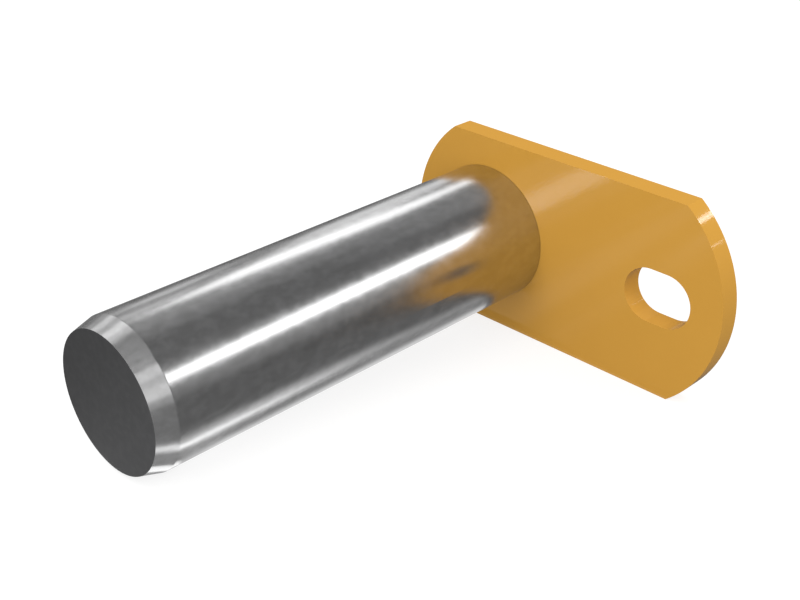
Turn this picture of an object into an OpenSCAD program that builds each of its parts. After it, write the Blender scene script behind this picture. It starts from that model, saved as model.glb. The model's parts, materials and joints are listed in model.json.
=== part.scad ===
// Linkage pin: a turned bar pin welded into a flag plate. The plate's slot takes the bolt that keeps the pin from
// turning and from sliding out of its bosses.
// The pin lies along Y with its tip towards -Y, the plate's long end points to +X, and Z is up. The origin is on the
// pin's axis, in the plate's front face, which seats against the linkage.

/* [Pin] */
// Diameter of the ground shank
pin_d = 50; // [36:0.5:60]
// Reach of the pin from the plate's front face to its tip
pin_reach = 164; // [60:1:300]
// Length of the lead-in taper at the tip
taper_len = 7; // [2:0.5:20]
// Drop of the taper at the tip, below the shank's surface
taper_drop = 2; // [0.5:0.25:8]

/* [Flag plate] */
// Thickness of the plate
plate_t = 8; // [5:0.5:16]
// Height between the plate's straight edges
plate_h = 72; // [66:1:88]
// Radius of the plate's two round ends
end_r = 46; // [40:0.5:60]
// Reach of the short end from the pin's axis
short_reach = 34.5; // [31:0.5:46]
// Reach of the long end from the pin's axis
long_reach = 99.5; // [92:0.5:160]

/* [Bolt slot] */
// Distance of the slot's middle from the pin's axis
slot_x = 74.5; // [60:0.5:82]
// Width of the slot
slot_w = 19.5; // [12:0.5:25]
// Length of the slot, end to end
slot_len = 26; // [20:0.5:36]

/* [Weld] */
// Clearance between the pin and the plate's hole, on the radius
hole_clear = 0.3; // [0.2:0.05:1]
// Angle of the weld bevel on the pin's back end, off the pin's axis
bevel_angle = 30; // [20:1:45]
// Height of the weld's crown over the plate's back face
crown_h = 1.5; // [0.5:0.25:3]
// Lap of the crown past each side of the weld groove
crown_lap = 1.5; // [0.5:0.25:3]

/* [Hidden] */
$fn = 96;

steel = "#8e9093";
yellow_paint = "#c4923e";

pin_r = pin_d / 2;
hole_r = pin_r + hole_clear;
// Radius that the weld bevel leaves at the pin's back end, which is flush with the plate's back face
bevel_r = pin_r - plate_t * tan(bevel_angle);
// The weld's crown is an arc over this chord
crown_chord = hole_r - bevel_r + 2 * crown_lap;
crown_r = (pow(crown_chord / 2, 2) + pow(crown_h, 2)) / (2 * crown_h);
// The groove's filling runs this far into the crown, so that the weld is one solid
crown_bite = crown_h / 10;

// Lays a shape along the pin: its Z from the plate's front face to the tip becomes -Y, and its XY outline XZ
module along_pin() {
    rotate([90, 0, 0]) children();
}

// The plate's outline: two straight edges between two round ends, which meet them at sharp corners
module plate_outline() {
    left_x = end_r - short_reach;
    right_x = long_reach - end_r;
    intersection() {
        translate([-short_reach, -plate_h / 2]) square([short_reach + long_reach, plate_h]);
        union() {
            translate([left_x, 0]) circle(end_r);
            translate([right_x, 0]) circle(end_r);
            translate([left_x, -plate_h / 2]) square([right_x - left_x, plate_h]);
        }
    }
}

// The slot's outline: two half circles with a straight between them
module slot_outline() {
    straight = slot_len - slot_w;
    for (side = [-1, 1]) translate([side * straight / 2, 0]) circle(slot_w / 2);
    square([straight, slot_w], center = true);
}

// Half section of the groove's filling, between the pin's bevel and the hole's wall
module groove_section() {
    polygon([
        [pin_r, 0],
        [hole_r, 0],
        [hole_r, -plate_t - crown_bite],
        [bevel_r, -plate_t - crown_bite],
        [bevel_r, -plate_t]
    ]);
}

// Half section of the weld's crown: an arc that stands on the plate's back face
module crown_section() {
    crown_mid = (hole_r + bevel_r) / 2;
    intersection() {
        translate([crown_mid, crown_r - crown_h - plate_t]) circle(crown_r);
        translate([crown_mid - crown_r, -plate_t - crown_h]) square([2 * crown_r, crown_h]);
    }
}

// The turned bar: weld bevel inside the plate, ground shank, lead-in taper and flat tip
module pin() {
    color(steel) along_pin() rotate_extrude() polygon([
        [0, -plate_t],
        [bevel_r, -plate_t],
        [pin_r, 0],
        [pin_r, pin_reach - taper_len],
        [pin_r - taper_drop, pin_reach],
        [0, pin_reach]
    ]);
}

// The cut plate, with the hole that the pin is welded into and the slot for the retaining bolt
module flag_plate() {
    color(yellow_paint) along_pin() translate([0, 0, -plate_t]) linear_extrude(plate_t) difference() {
        plate_outline();
        circle(hole_r);
        translate([slot_x, 0]) slot_outline();
    }
}

// The ring weld: it fills the groove between the pin's bevel and the hole, and crowns over the plate's back face
module weld_bead() {
    color(yellow_paint) along_pin() union() {
        rotate_extrude() groove_section();
        rotate_extrude() crown_section();
    }
}

pin();
flag_plate();
weld_bead();
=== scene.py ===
"""Linkage pin: a ground steel pin welded into a yellow flag plate, on a pale floor.

Everything is in metres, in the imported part's frame: the pin lies along Y with its tip towards -Y, the plate's
long end points to +X, and Z is up. The origin is on the pin's axis, in the plate's front face.
"""
import json
import math

import bmesh
import bpy
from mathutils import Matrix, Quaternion, Vector, noise


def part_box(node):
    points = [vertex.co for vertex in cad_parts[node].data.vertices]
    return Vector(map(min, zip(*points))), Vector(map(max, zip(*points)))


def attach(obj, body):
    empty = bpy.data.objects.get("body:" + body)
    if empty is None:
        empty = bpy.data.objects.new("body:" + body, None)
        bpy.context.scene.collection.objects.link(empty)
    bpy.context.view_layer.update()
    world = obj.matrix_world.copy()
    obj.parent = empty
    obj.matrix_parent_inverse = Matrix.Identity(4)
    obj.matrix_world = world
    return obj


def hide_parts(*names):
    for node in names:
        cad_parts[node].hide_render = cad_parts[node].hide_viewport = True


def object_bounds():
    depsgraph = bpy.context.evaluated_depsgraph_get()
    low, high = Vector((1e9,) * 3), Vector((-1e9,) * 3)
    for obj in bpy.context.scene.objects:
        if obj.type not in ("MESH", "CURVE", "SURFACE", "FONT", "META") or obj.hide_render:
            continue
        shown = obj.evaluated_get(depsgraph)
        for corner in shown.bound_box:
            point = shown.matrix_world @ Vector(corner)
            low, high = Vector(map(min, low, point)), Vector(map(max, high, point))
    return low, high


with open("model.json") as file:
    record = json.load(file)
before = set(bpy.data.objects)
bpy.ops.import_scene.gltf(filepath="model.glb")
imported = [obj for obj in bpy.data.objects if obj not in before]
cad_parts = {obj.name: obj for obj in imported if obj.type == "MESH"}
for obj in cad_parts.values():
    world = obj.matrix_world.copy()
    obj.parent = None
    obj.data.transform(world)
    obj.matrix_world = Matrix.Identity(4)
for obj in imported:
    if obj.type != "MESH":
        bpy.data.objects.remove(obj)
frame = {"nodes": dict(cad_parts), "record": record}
cad_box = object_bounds()

MM = 0.001

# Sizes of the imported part
mounts = {mount["name"]: mount for mount in frame["record"]["mounts"]}
shank_r = mounts["shank"]["dims"]["r_mm"] * MM
shank_len = mounts["shank"]["dims"]["length_mm"] * MM
tip_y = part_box("pin")[0].y
plate_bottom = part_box("flag_plate")[0].z
plate_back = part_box("flag_plate")[1].y
weld_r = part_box("weld_bead")[1].x
crown_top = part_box("weld_bead")[1].y


def axis_distances(node, keep):
    """How far the node's corners that keep() picks lie from the pin's axis."""
    corners = [vertex.co for vertex in frame["nodes"][node].data.vertices]
    return [math.hypot(corner.x, corner.z) for corner in corners if keep(corner)]


# The radius of the plate's hole, and the one that the weld bevel leaves at the pin's back end
hole_r = min(axis_distances("flag_plate", lambda corner: True))
bevel_r = max(axis_distances("pin", lambda corner: corner.y > plate_back - 0.1 * MM))


class Value:
    """One value in a node tree. Sums and products of values add the Math nodes that work them out."""

    def __init__(self, nodes, socket):
        self.nodes = nodes
        self.socket = socket

    def maths(self, operation, *others):
        """Adds a Math node that works on this value and the others."""
        return self.nodes.node("Math", {"operation": operation}, {0: self, **dict(enumerate(others, 1))})

    def __add__(self, other):
        return self.maths("ADD", other)

    def __radd__(self, other):
        return self.maths("ADD", other)

    def __sub__(self, other):
        return self.maths("SUBTRACT", other)

    def __rsub__(self, other):
        # This value times -1, plus the other
        return self.maths("MULTIPLY_ADD", -1.0, other)

    def __mul__(self, other):
        return self.maths("MULTIPLY", other)

    def __rmul__(self, other):
        return self.maths("MULTIPLY", other)

    def over(self, edge, soft):
        """0 below the edge, 1 above it, with a soft step of the given width between."""
        return self.nodes.node("MapRange", {"interpolation_type": "SMOOTHSTEP"}, {
            "Value": self, "From Min": edge - soft / 2, "From Max": edge + soft / 2})


class Nodes:
    """A node tree, built up node by node."""

    def __init__(self, tree):
        self.tree = tree
        tree.nodes.clear()

    def make(self, kind, settings, sockets):
        """Adds a node: its settings first, then the value or the link of each socket."""
        node = self.tree.nodes.new("ShaderNode" + kind)
        for name, setting in settings.items():
            setattr(node, name, setting)
        for name, value in sockets.items():
            self.put(node.inputs[name], value)
        return node

    def put(self, socket, value):
        """Links a value to a socket, or sets the socket to a fixed one."""
        if isinstance(value, Value):
            self.tree.links.new(value.socket, socket)
        else:
            socket.default_value = value

    def node(self, kind, settings, sockets, output=0):
        """Adds a node and gives back one of its outputs."""
        return Value(self, self.make(kind, settings, sockets).outputs[output])

    def place(self):
        """Where a point is on its piece, in metres."""
        return self.node("TexCoord", {}, {}, output="Object")

    def along(self, axis):
        """How far along X, Y or Z a point is."""
        return self.node("SeparateXYZ", {}, {"Vector": self.place()}, output=axis)

    def stretched(self, x, y, z):
        """The place, with each direction drawn out where its number is below 1."""
        return self.node("VectorMath", {"operation": "MULTIPLY"}, {0: self.place(), 1: (x, y, z)})

    def cloud(self, size, detail, roughness=0.5, at=None):
        """Cloudy noise whose blobs are about this many metres across, from 0 to 1."""
        return self.node("TexNoise", {}, {
            "Vector": at or self.place(), "Scale": 1.0 / size, "Detail": detail, "Roughness": roughness})

    def rings(self, width):
        """Uneven rings round the pin's axis, about this many metres wide, from 0 to 1."""
        from_axis = self.node(
            "VectorMath", {"operation": "LENGTH"}, {0: self.stretched(1.0, 0.0, 1.0)}, output="Value")
        return self.node(
            "TexNoise", {"noise_dimensions": "1D"}, {"W": from_axis, "Scale": 1.0 / width, "Detail": 2.0})

    def blend(self, amount, first, second):
        """Mixes two colours."""
        return self.node("Mix", {"data_type": "RGBA"}, {0: amount, 6: first, 7: second}, output=2)

    def bump(self, height, strength, distance, over=None):
        """The surface's slope under a pattern of bumps, which may lie over another one."""
        sockets = {"Strength": strength, "Distance": distance, "Height": height}
        if over:
            sockets["Normal"] = over
        return self.node("Bump", {}, sockets)


class Finish(Nodes):
    """A material round one Principled shader, whose fixed values are given when it is made."""

    def __init__(self, name, **fixed):
        self.material = bpy.data.materials.new(name)
        self.material.use_nodes = True
        super().__init__(self.material.node_tree)
        sockets = {socket.replace("_", " "): value for socket, value in fixed.items()}
        self.shader = self.make("BsdfPrincipled", {}, sockets)
        self.make("OutputMaterial", {}, {"Surface": Value(self, self.shader.outputs[0])})

    def feed(self, **values):
        """Links the values that change over the surface, and gives back the material."""
        for socket, value in values.items():
            self.put(self.shader.inputs[socket.replace("_", " ")], value)
        return self.material


PAINT = (0.560, 0.290, 0.048, 1.0)
PAINT_DEEP = (0.540, 0.276, 0.045, 1.0)
STEEL = (0.622, 0.622, 0.627, 1.0)
STEEL_DULL = (0.53, 0.53, 0.53, 1.0)
# The tip face's colour: painted shade, steel far darker than the shank's
STEEL_TIP_PAINTED_SHADE = (0.235, 0.235, 0.24, 1.0)
# The roughness of the paint on the pin's end inside the plate
PAINTED_END_ROUGH = 0.38


def paint_material():
    """Glossy yellow ochre paint, sprayed: faint orange peel and slightly uneven gloss."""
    paint = Finish("yellow_ochre_paint", Metallic=0.0, IOR=1.5, Specular_IOR_Level=0.2)
    patches = paint.cloud(size=18 * MM, detail=2.0)
    peel = paint.cloud(size=1.6 * MM, detail=1.0)
    return paint.feed(
        Base_Color=paint.blend(patches, PAINT_DEEP, PAINT),
        Roughness=0.06 + 0.04 * patches,
        Normal=paint.bump(peel, strength=0.04, distance=0.1 * MM),
    )


def steel_material():
    """Bar steel: ground shank, turned lead-in taper, faced tip with painted shade in its colour, and paint on
    the end inside the plate.
    """
    steel = Finish("bar_steel", IOR=1.5)

    # 1 from the taper to the tip, on the tip's face, on the painted end and towards the plate, and 0 elsewhere
    y = steel.along("Y")
    taper = 1.0 - y.over(-shank_len, soft=0.1 * MM)
    tip = 1.0 - y.over(tip_y + 0.05 * MM, soft=0.05 * MM)
    painted = y.over(0.2 * MM, soft=0.1 * MM)
    by_plate = y.over(-50 * MM, soft=60 * MM)
    # 0 where the shank meets the taper and 1 away from it, which rounds the corner between them
    round_edge = (y + shank_len).maths("ABSOLUTE").over(0.1 * MM, soft=0.2 * MM)

    # Handling marks, the grinding's fine lines round the shank, and its slight unevenness
    clouds = steel.cloud(size=9 * MM, detail=5.0, roughness=0.62).over(0.5, soft=0.4)
    smudges = steel.cloud(size=2.6 * MM, detail=3.0, at=steel.stretched(1.0, 0.6, 1.0)).over(0.52, soft=0.3)
    grinding = steel.cloud(size=0.6 * MM, detail=2.0, at=steel.stretched(0.02, 1.0, 0.02))
    uneven = steel.cloud(size=3 * MM, detail=4.0, at=steel.stretched(1.0, 0.7, 1.0))

    ground_rough = 0.205 + 0.03 * clouds + 0.02 * smudges + 0.01 * by_plate
    turned_rough = 0.17 + 0.03 * clouds
    faced_rough = 0.48 + 0.03 * clouds + 0.06 * steel.rings(width=0.7 * MM)
    rough = ground_rough + (turned_rough - ground_rough) * taper
    rough = rough + (faced_rough - rough) * tip
    rough = rough + (PAINTED_END_ROUGH - rough) * painted

    metal = steel.blend(0.45 * clouds + 0.55 * smudges, STEEL_DULL, STEEL)
    # The tip's face takes the darkened steel, which is painted shade
    metal = steel.blend(tip * (1.0 - 0.05 * smudges), metal, STEEL_TIP_PAINTED_SHADE)

    slope = steel.bump(grinding, strength=0.03, distance=0.02 * MM)
    slope = steel.bump(uneven, strength=0.15, distance=0.03 * MM, over=slope)
    slope = steel.bump(round_edge, strength=1.0, distance=0.015 * MM, over=slope)
    return steel.feed(
        Base_Color=steel.blend(painted, metal, PAINT),
        Roughness=rough,
        Metallic=1.0 - painted,
        Normal=slope,
    )


def mesh_data(name, mesh):
    """Turns a finished bmesh into mesh data."""
    data = bpy.data.meshes.new(name)
    mesh.to_mesh(data)
    mesh.free()
    return data


def put_in_scene(name, data):
    """Adds an object that shows the data."""
    piece = bpy.data.objects.new(name, data)
    bpy.context.scene.collection.objects.link(piece)
    return piece


# The weld's drops of metal round the pin, and the cuts of its mesh
DROPS = 64
CUTS_PER_DROP = 12
CUTS_ACROSS = 22
# How far the crown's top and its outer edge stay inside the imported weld, which leaves room for what follows
CROWN_INSET = 0.25 * MM
EDGE_INSET = 0.3 * MM
# How far the bead's edges wander, how far each drop bulges past them, and how deep the ripples are
WANDER = 0.25 * MM
BULGE = 0.10 * MM
RIPPLE = 0.18 * MM
# How far a ripple's ends lie behind its middle, and how far it strays from its place, both in drops
RIPPLE_BOW = 0.55
RIPPLE_STRAY = 0.15
# The lump where the bead ends over its start: its place and width in radians round the pin, and how high it is
LUMP_AT = 4.4
LUMP_WIDE = 0.12
LUMP_HEIGHT = 0.12 * MM


def weld_section(turn, drops):
    """The weld's half section at an angle round the pin, after that many drops: radii and places along Y."""
    inner = bevel_r - (weld_r - hole_r)
    crown = crown_top - plate_back
    along = Vector((math.cos(turn), math.sin(turn), 0.0))
    wander_in = WANDER * noise.noise(along * 5.0)
    wander_out = WANDER * noise.noise(along * 5.0 + Vector((0, 0, 7)))
    stray = RIPPLE_STRAY * noise.noise(along * 9.0)
    lump = math.exp(-((turn - LUMP_AT) / LUMP_WIDE) ** 2)
    section = [(shank_r, 0.0), (hole_r, 0.0), (hole_r, plate_back)]
    for cut in range(CUTS_ACROSS + 1):
        # From -1 at the crown's outer edge to 1 at its inner one
        side = 2 * cut / CUTS_ACROSS - 1
        phase = (drops + RIPPLE_BOW * side * side + stray) % 1.0
        ripple = RIPPLE * (abs(2 * phase - 1) ** 1.5 - 0.5) * (1 - side ** 4)
        bulge = BULGE * math.cos(2 * math.pi * phase)
        lo = inner - wander_in * (1 - lump) + bulge
        hi = weld_r - EDGE_INSET + wander_out - bulge
        r = (hi + lo) / 2 - (hi - lo) / 2 * side
        arch = 1 - side * side
        rise = (crown - CROWN_INSET) * arch ** 0.8 + ripple + LUMP_HEIGHT * lump * arch
        section.append((r, plate_back + max(rise, 0.0) if abs(side) < 1 else plate_back))
    section.append((bevel_r, plate_back))
    return section


def weld_mesh():
    """The ring weld, with a ripple for each drop of metal and a low lump where it ends over its start."""
    cuts_round = DROPS * CUTS_PER_DROP
    mesh = bmesh.new()
    rings = []
    for cut in range(cuts_round):
        turn = 2 * math.pi * cut / cuts_round
        section = weld_section(turn, drops=DROPS * cut / cuts_round)
        rings.append([mesh.verts.new((r * math.cos(turn), y, r * math.sin(turn))) for r, y in section])
    for ring, after in zip(rings, rings[1:] + rings[:1]):
        for j in range(len(ring)):
            k = (j + 1) % len(ring)
            mesh.faces.new((ring[j], ring[k], after[k], after[j]))
    bmesh.ops.recalc_face_normals(mesh, faces=mesh.faces)
    data = mesh_data("weld_bead_rippled", mesh)
    for face in data.polygons:
        face.use_smooth = True
    return data


paint = paint_material()
steel = steel_material()
for node, finish in (("flag_plate", paint), ("pin", steel)):
    for slot in frame["nodes"][node].material_slots:
        slot.material = finish

weld = put_in_scene("weld_bead_rippled", weld_mesh())
weld.data.materials.append(paint)
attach(weld, "root")
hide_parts("weld_bead")


# The camera, at the photograph's viewing angle
SENSOR_WIDTH = 36.0
LENS = 57.534
CAMERA_PLACE = (277.177 * MM, -323.148 * MM, 200.165 * MM)
CAMERA_AZIMUTH = math.radians(44.937)
CAMERA_ELEVATION = math.radians(28.355)

camera = put_in_scene("camera", bpy.data.cameras.new("camera"))
camera.data.sensor_width = SENSOR_WIDTH
camera.data.lens = LENS
camera.data.clip_start = 10 * MM
camera.location = CAMERA_PLACE
camera.rotation_euler = (math.pi / 2 - CAMERA_ELEVATION, 0.0, CAMERA_AZIMUTH)
bpy.context.scene.camera = camera


# The studio. Its glows and its lamps are radiances, so 1 shows as white.
WHITE = (1.0, 1.0, 1.0, 1.0)
# How strongly the sky lights the part. The rays that see the background see it as 1.
AMBIENT = 0.82
# The floor's own grey, what it gives off to every ray, and what it adds for the rays that see the background
FLOOR_SHADE = 0.30
FLOOR_LIGHT = 0.38
FLOOR_GLOW = 0.41
# The floor's two ends along X and along Y
FLOOR_X = (-2.5, 2.5)
FLOOR_Y = (-1.6, 2.5)
# How far the lamps and the tent are from the part's middle
LAMPS_AT = 1.6
TENT_AT = 1.9
# The tent's widest mesh step in degrees, and how high the cards lie over the floor
TENT_STEP = 6
CARD_LIFT = 1.0 * MM
# The glow of a tent patch that is an opening to the white background
WINDOW = None

middle = (cad_box[0] + cad_box[1]) / 2


def direction(azimuth, elevation):
    """From the part towards a point round it: azimuth 0 is in front of the tip and 90 past the long end."""
    turn = math.radians(azimuth)
    rise = math.radians(elevation)
    return Vector((math.sin(turn) * math.cos(rise), -math.cos(turn) * math.cos(rise), math.sin(rise)))


def floor_height(y):
    """The part rests on the plate's lower edge and on the shank's lower line where the taper starts."""
    return plate_bottom + y * (plate_bottom + shank_r) / shank_len


def background_rays(nodes):
    """1 for rays from the camera, from a mirror or through glass, which see the white background."""
    rays = nodes.make("LightPath", {}, {}).outputs
    from_camera, from_mirror, through_glass = [
        Value(nodes, rays[name]) for name in ("Is Camera Ray", "Is Glossy Ray", "Is Transmission Ray")]
    return from_camera.maths("MAXIMUM", from_mirror).maths("MAXIMUM", through_glass)


def white_world():
    """An even sky that lights the part, and that reads as white behind it."""
    world = bpy.data.worlds.new("studio")
    bpy.context.scene.world = world
    world.use_nodes = True
    sky = Nodes(world.node_tree)
    strength = AMBIENT + (1.0 - AMBIENT) * background_rays(sky)
    light = sky.node("Background", {}, {"Color": WHITE, "Strength": strength})
    sky.make("OutputWorld", {}, {"Surface": light})


def glowing(name, shade, glow):
    """A plain grey that also gives off light: a number, or what glow() makes of the material's nodes."""
    material = bpy.data.materials.new(name)
    material.use_nodes = True
    material.cycles.emission_sampling = "NONE"
    nodes = Nodes(material.node_tree)
    strength = glow(nodes) if callable(glow) else glow
    light = nodes.node("Emission", {}, {"Strength": strength})
    body = nodes.node("BsdfDiffuse", {}, {"Color": (shade, shade, shade, 1.0)})
    both = nodes.node("AddShader", {}, {0: body, 1: light})
    nodes.make("OutputMaterial", {}, {"Surface": both})
    return material


def floor_glow(nodes):
    """What the floor gives off, so that it reads as white without lighting the part too much."""
    return FLOOR_LIGHT + FLOOR_GLOW * background_rays(nodes)


def pale_floor():
    """The plain floor that the part lies on."""
    mesh = bmesh.new()
    left, right = [[mesh.verts.new((x, y, floor_height(y))) for y in FLOOR_Y] for x in FLOOR_X]
    mesh.faces.new((left[0], left[1], right[1], right[0]))
    floor = put_in_scene("floor", mesh_data("floor", mesh))
    floor.data.materials.append(glowing("pale_floor", FLOOR_SHADE, floor_glow))


def only_in_mirrors(name, mesh, glows):
    """A studio piece that the steel and the paint mirror and nothing else sees, with a glow for each card.

    A window has no faces, and its material only keeps the count."""
    data = mesh_data(name, mesh)
    for glow in glows:
        data.materials.append(glowing(name, 0.0, 0.0 if glow is WINDOW else glow))
    piece = put_in_scene(name, data)
    piece.visible_camera = False
    piece.visible_diffuse = False
    piece.visible_shadow = False
    piece.visible_transmission = False


def softbox(name, azimuth, elevation, wide, tall, radiance, roll=0.0, lights=()):
    """A soft lamp that faces the part, or lights the given pieces alone.

    Its sizes are in degrees, as seen from the part's middle."""
    lamp = put_in_scene(name, bpy.data.lights.new(name, "AREA"))
    lamp.data.shape = "RECTANGLE"
    lamp.data.size = 2 * LAMPS_AT * math.tan(math.radians(wide) / 2)
    lamp.data.size_y = 2 * LAMPS_AT * math.tan(math.radians(tall) / 2)
    lamp.data.energy = radiance * math.pi * lamp.data.size * lamp.data.size_y
    outward = direction(azimuth, elevation)
    lamp.location = middle + LAMPS_AT * outward
    facing = outward.to_track_quat("Z", "Y") @ Quaternion((0.0, 0.0, 1.0), math.radians(roll))
    lamp.rotation_euler = facing.to_euler()
    lamp.visible_camera = False
    if lights:
        lit = bpy.data.collections.new(name + "_lights")
        for node in lights:
            lit.objects.link(frame["nodes"][node])
        lamp.light_linking.receiver_collection = lit


def tent_cuts(ends, marks):
    """Where a panel of the tent is cut along one direction: at its steps and at the marks within its ends."""
    cuts = {*range(*ends, TENT_STEP), *ends, *marks}
    return sorted(cut for cut in cuts if ends[0] <= cut <= ends[1])


def tent(name, azimuths, elevations, glow, patches=()):
    """A panel of the grey tent round the part, between two azimuths and two elevations in whole degrees.

    Each patch of it gives its two azimuths, two elevations and glow, and lies over the ones before."""
    turns = tent_cuts(azimuths, [mark for patch in patches for mark in patch[0:2]])
    rises = tent_cuts(elevations, [mark for patch in patches for mark in patch[2:4]])
    glows = [glow] + [patch[4] for patch in patches]
    mesh = bmesh.new()
    corner = {
        (turn, rise): mesh.verts.new(middle + TENT_AT * direction(turn, rise))
        for turn in turns for rise in rises
    }
    for turn, next_turn in zip(turns, turns[1:]):
        for rise, next_rise in zip(rises, rises[1:]):
            top_patch = 0
            for number, (turn_from, turn_to, rise_from, rise_to, _) in enumerate(patches, 1):
                if turn_from <= turn < turn_to and rise_from <= rise < rise_to:
                    top_patch = number
            if glows[top_patch] is not WINDOW:
                around = ((turn, rise), (next_turn, rise), (next_turn, next_rise), (turn, next_rise))
                mesh.faces.new([corner[place] for place in around]).material_index = top_patch
    only_in_mirrors(name, mesh, glows)


def floor_cards(*cards):
    """Grey cards side by side on the floor.

    Each has its glow and its edges: a place along the pin, and its left and right side there, in mm."""
    mesh = bmesh.new()
    for number, (glow, edges) in enumerate(cards):
        rows = []
        for y, *sides in edges:
            height = floor_height(y * MM) + CARD_LIFT
            rows.append([mesh.verts.new((x * MM, y * MM, height)) for x in sides])
        for (left, right), (next_left, next_right) in zip(rows, rows[1:]):
            mesh.faces.new((left, right, next_right, next_left)).material_index = number
    only_in_mirrors("floor_cards", mesh, [glow for glow, edges in cards])


def fading(nodes, axis, start, end, near, far):
    """A glow that fades from one strength to another along an axis, between two places in mm."""
    return near + (far - near) * nodes.along(axis).over((start + end) / 2 * MM, soft=(end - start) * MM)


def right_of_shank(nodes):
    """Dimmer away from the tip."""
    return fading(nodes, "Y", -158, -138, 0.255, 0.165)


def in_front_of_tip(nodes):
    """Brighter towards the right."""
    return fading(nodes, "X", -70, 0, 0.12, 0.26)


def line_left_side(nodes):
    """The grey strip on the bright line's left, dimmer towards the plate as painted shade."""
    return fading(nodes, "Y", -140, -50, 0.75, 0.30)


def bright_line(nodes):
    """The bright line beside the shank: strongest near the tip, and dimmed towards the plate as painted shade.
    """
    return fading(nodes, "Y", -156, -146, 1.3, 2.2) - fading(nodes, "Y", -157, -51, 0.0, 1.75)


def line_right_side(nodes):
    """The strip on the bright line's right, which fades out to the right, and towards the plate as painted
    shade.
    """
    return fading(nodes, "X", 31, 43, 1.0, 0.32) * fading(nodes, "Y", -103, -13, 0.86, 0.40)


def painted_shank_shadow_right(nodes):
    """Painted shank shadow: brighter towards the tip, and on its left, where the brightness starts a little
    behind the taper.
    """
    left = fading(nodes, "X", 11.5, 21, 0.62, 0.0) * fading(nodes, "Y", -152, -130, 0.35, 1.0)
    return fading(nodes, "Y", -149, -115, 0.46, 0.30) + left


def under_left_side(nodes):
    """Bright on its right."""
    return fading(nodes, "X", -3, 9, 0.165, 0.9)


white_world()
pale_floor()

# The two bright streaks along the shank
softbox("strip_right", 130, 29.0, wide=26, tall=9.7, radiance=4.2, roll=-5)
softbox("strip_left", 224.1, 35.3, wide=18.5, tall=12, radiance=2.15, roll=2)
# Broad light from in front of the tip and from beside the camera, on the plate alone, and on the pin alone
softbox("front_fill", 18, 48, wide=60, tall=52, radiance=1.3)
softbox("side_fill", 52, 14, wide=30, tall=30, radiance=1.12)
softbox("top_fill", 18, 75, wide=38, tall=38, radiance=2.2, lights=["flag_plate"])
softbox("sheen", 31, 31, wide=30, tall=20, radiance=9.0, lights=["pin"])
# The glints on the plate's round end
softbox("edge_glint", 152.6, 26.0, wide=6.5, tall=2.2, radiance=17.0, lights=["flag_plate"])
softbox("edge_glint_low", 143.4, 13.6, wide=2.2, tall=0.5, radiance=13.0, lights=["flag_plate"])

tent("tent_right", (60, 190), (-12, 72), 0.165, [
    # A window past the plate's long end, with a grey strip below it and a pale bar across it
    (72, 98, 14, 56, WINDOW),
    (72, 98, 2, 14, 0.42),
    (72, 98, 31, 42, 0.7),
    # A grey card low behind the long end, and most of the one high behind the plate
    (114, 142, 4, 22, 0.31),
    (170, 190, 38, 51, 0.33),
])
tent("tent_left", (190, 300), (-12, 72), 0.28, [
    # A window past the plate's short end, with a grey strip below it, and a pale and a bright bar across it
    (250, 275, 21, 70, WINDOW),
    (250, 275, 8, 21, 0.47),
    (250, 275, 34, 45, 0.6),
    (250, 275, 46, 57, 1.3),
    # Three narrow windows behind the short end
    (224, 235, 5, 30, WINDOW),
    (238, 243, 25, 36, WINDOW),
    (240, 245, 6, 17, WINDOW),
    # A dark card low behind the plate, two grey ones above it, and the rest of the one high behind the plate
    (203, 224, 8, 29, 0.09),
    (203, 212, 41, 47, 0.42),
    (212, 223, 44, 56, 0.44),
    (190, 196, 38, 51, 0.33),
])
tent("tent_front", (-60, 60), (-12, 72), 0.11)
tent("tent_top", (0, 360), (72, 89), 0.36)

floor_cards(
    # Right of the shank, beyond the plate, left of the shank, and in front of the tip
    (right_of_shank, [
        (-1500, 49, 1500), (-164.5, 48, 1500), (-156, 47, 1500), (-145, 43, 1500), (-4, 43, 1500)]),
    (0.13, [(-3.9, -1500, 1500), (1500, -1500, 1500)]),
    (0.23, [(-164.5, -1500, -44), (-4, -1500, -44)]),
    (in_front_of_tip, [(-1500, -1500, 48), (-164.6, -1500, 48)]),
    # The bright line beside the shank, and the strips on its left and on its right, with painted shade of the
    # plate and the pin near the plate
    (line_left_side, [(-164.5, 30, 31.5), (-156, 29, 31), (-145, 26, 27.8), (-4, 24, 28)]),
    (bright_line, [(-164.5, 31.5, 37), (-156, 31, 36), (-145, 27.8, 31.3), (-4, 28, 31.5)]),
    (line_right_side, [(-164.5, 37, 48), (-156, 36, 47), (-145, 31.3, 43), (-4, 31.5, 43)]),
    # Under the shank's right side a painted shadow of the shank, and under its left side at the taper and
    # behind it
    (painted_shank_shadow_right, [(-149, 8, 27), (-140, 9, 25.5), (-108, 10, 25), (-4, 10, 24)]),
    (0.165, [(-164.5, -6, 5), (-150, -6, 5)]),
    (under_left_side, [(-150, -6, 5), (-140, -6, 9), (-22, -6, 9)]),
    # Under the rest of the taper, from right to left: a grey card, a bright one and a grey one
    (0.36, [(-164.5, 18.7, 30), (-156, 18.5, 29), (-149, 17.5, 27)]),
    (1.5, [(-164.5, 13.6, 18.5), (-150, 13.6, 17.5)]),
    (0.38, [(-164.5, 5, 13.6), (-150, 5, 12.5)]),
)

bpy.context.scene.view_settings.view_transform = "Standard"
